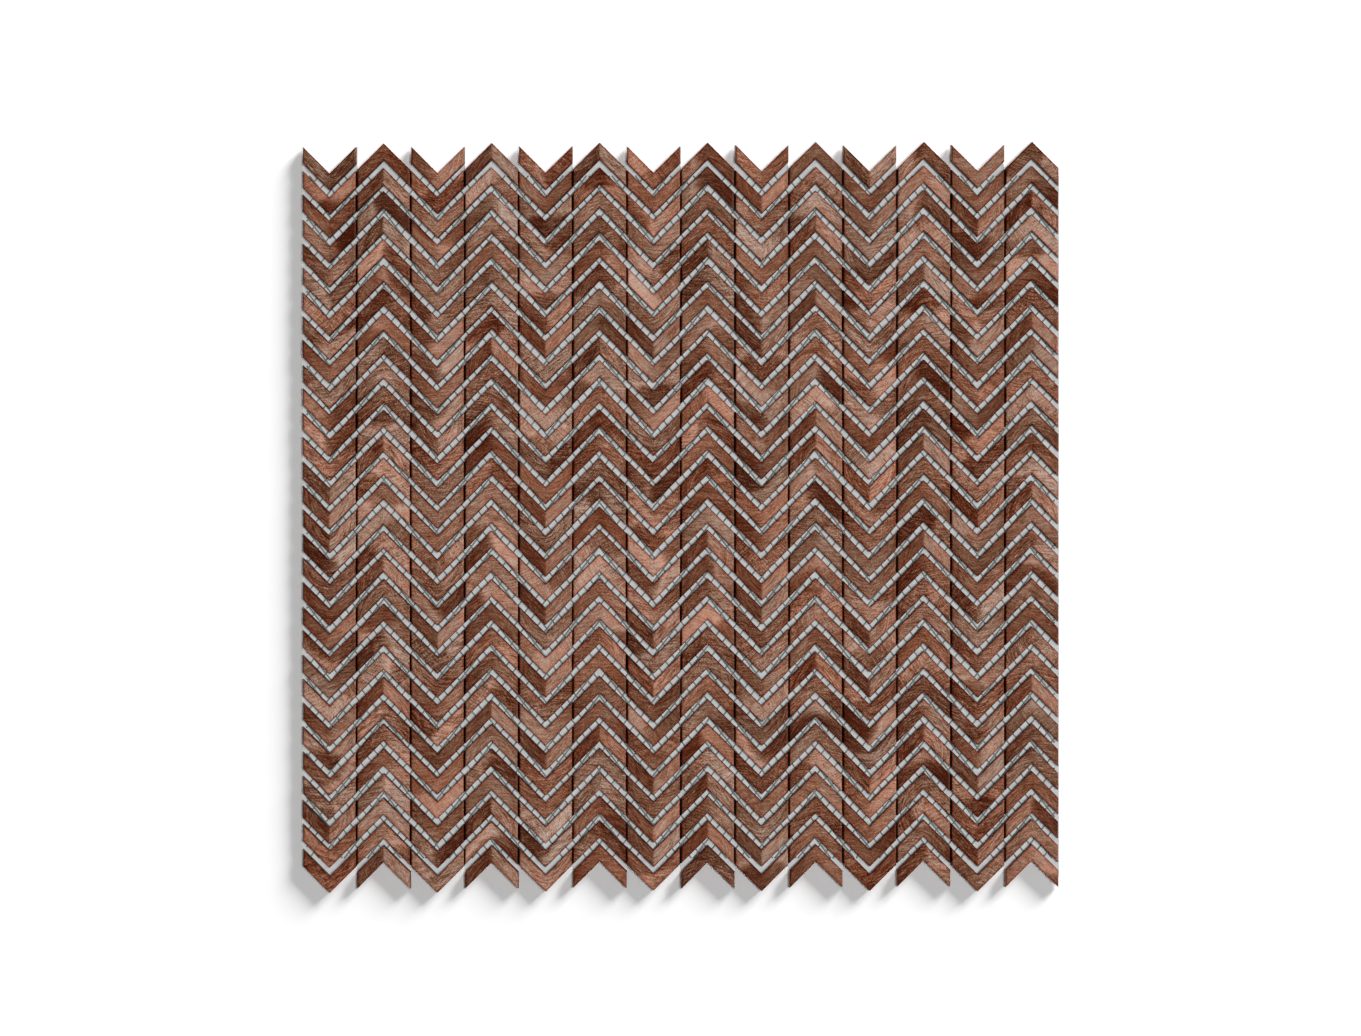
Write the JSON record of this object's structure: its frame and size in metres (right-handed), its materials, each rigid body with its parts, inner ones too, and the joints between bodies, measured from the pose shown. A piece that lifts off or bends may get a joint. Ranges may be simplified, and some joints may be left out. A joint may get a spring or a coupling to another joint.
{
  "type": "copper mosaic tile",
  "caption": "Flat mosaic sheet of brushed copper chevrons in interlocking columns, held by an open glass mesh on the back, for facing walls and splashbacks.",
  "frame": {"origin": "under the centre of the sheet, on the surface that it lies on", "axes": "+X across the columns, towards the right of the sheet; +Y up the columns; +Z out of the copper faces"},
  "size_m": [0.2998, 0.2974, 0.005],
  "materials": {
    "brushed_copper": "brushed bare copper, satin, lightly browned",
    "glass_mesh": "coated glass yarn, matt pale grey"
  },
  "bodies": {
    "root": {"mesh_lower_strands": "glass_mesh", "mesh_upper_strands": "glass_mesh", "chevron_column_01": "brushed_copper", "chevron_column_02": "brushed_copper", "chevron_column_03": "brushed_copper", "chevron_column_04": "brushed_copper", "chevron_column_05": "brushed_copper", "chevron_column_06": "brushed_copper", "chevron_column_07": "brushed_copper", "chevron_column_08": "brushed_copper", "chevron_column_09": "brushed_copper", "chevron_column_10": "brushed_copper", "chevron_column_11": "brushed_copper", "chevron_column_12": "brushed_copper", "chevron_column_13": "brushed_copper", "chevron_column_14": "brushed_copper"}
  },
  "joints": []
}
